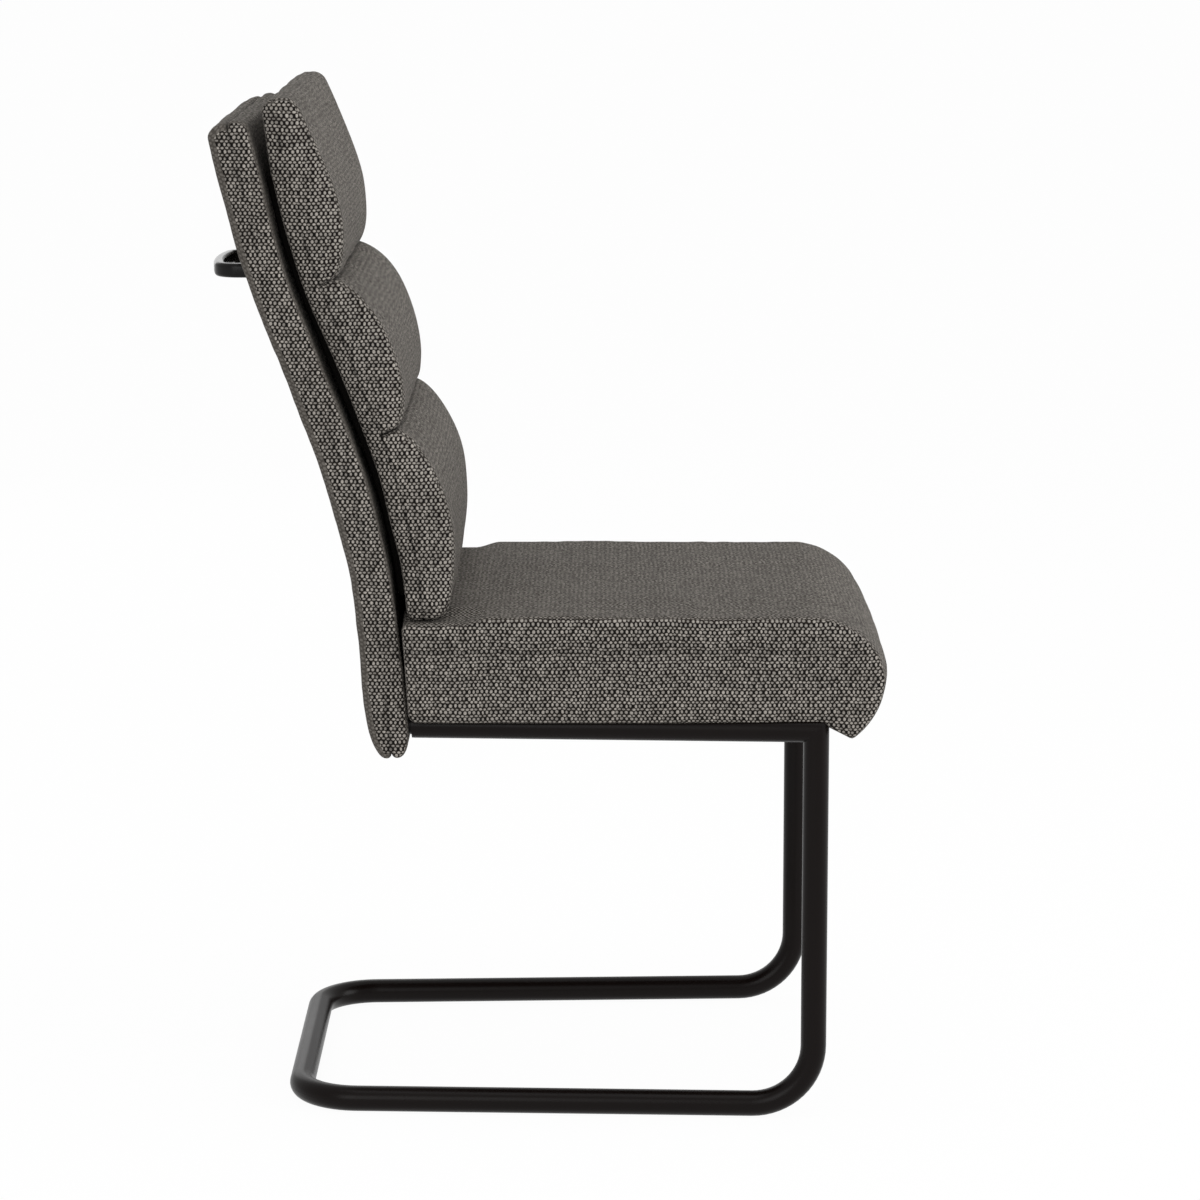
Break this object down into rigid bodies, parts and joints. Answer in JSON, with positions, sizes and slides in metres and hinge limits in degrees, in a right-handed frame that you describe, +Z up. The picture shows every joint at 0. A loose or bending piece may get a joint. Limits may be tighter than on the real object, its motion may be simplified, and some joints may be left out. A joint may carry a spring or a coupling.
{
  "type": "cantilever chair",
  "caption": "Cantilever dining chair on a bent round-tube sled, with a thick waterfall seat, a channelled back cushion on a slim rear pad, and a grab handle behind.",
  "frame": {"origin": "on the floor, at the bottom centre of the chair's outline", "axes": "+Z up, the seat's front edge towards -Y, +X to the sitter's left, mirrored about X = 0"},
  "size_m": [0.4496, 0.6662, 0.997],
  "materials": {
    "powder_black": "satin powder coat",
    "handle_black": "satin powder coat",
    "bare_steel": "plain",
    "zinc_steel": "zinc plated",
    "woven_fabric": "coarse two-tone weave",
    "spacer_cloth": "dark lining",
    "dust_cloth": "non-woven",
    "foam": "open-cell foam",
    "plywood": "plain"
  },
  "bodies": {
    "root": {"sled_tube": "powder_black", "seat_rail_left": "powder_black", "seat_rail_right": "powder_black", "rail_end_plugs": "bare_steel", "front_cross_bar": "powder_black", "rear_cross_bar": "powder_black", "seat_cover": "woven_fabric", "seat_foam": "foam", "seat_board": "plywood", "seat_dust_cover": "dust_cloth", "seat_tee_nuts": "zinc_steel", "seat_bolts": "zinc_steel", "seat_bolt_washers": "zinc_steel", "back_upright_left": "bare_steel", "back_upright_right": "bare_steel", "back_top_bar": "bare_steel", "back_bottom_bar": "bare_steel", "back_handle_bar": "bare_steel", "back_mount_bosses": "bare_steel", "back_mount_washers": "zinc_steel", "back_mount_bolts": "zinc_steel", "back_board": "plywood", "pad_front_cover": "woven_fabric", "pad_rear_cover": "woven_fabric", "pad_front_foam": "foam", "pad_rear_foam": "foam", "cushion_spacer": "spacer_cloth", "cushion_backing_board": "plywood", "cushion_tee_nuts": "zinc_steel", "cushion_screws": "zinc_steel", "lower_bolster_foam": "foam", "middle_bolster_foam": "foam", "upper_bolster_foam": "foam", "cushion_cover": "woven_fabric", "handle": "handle_black", "handle_screws": "zinc_steel"}
  },
  "joints": []
}
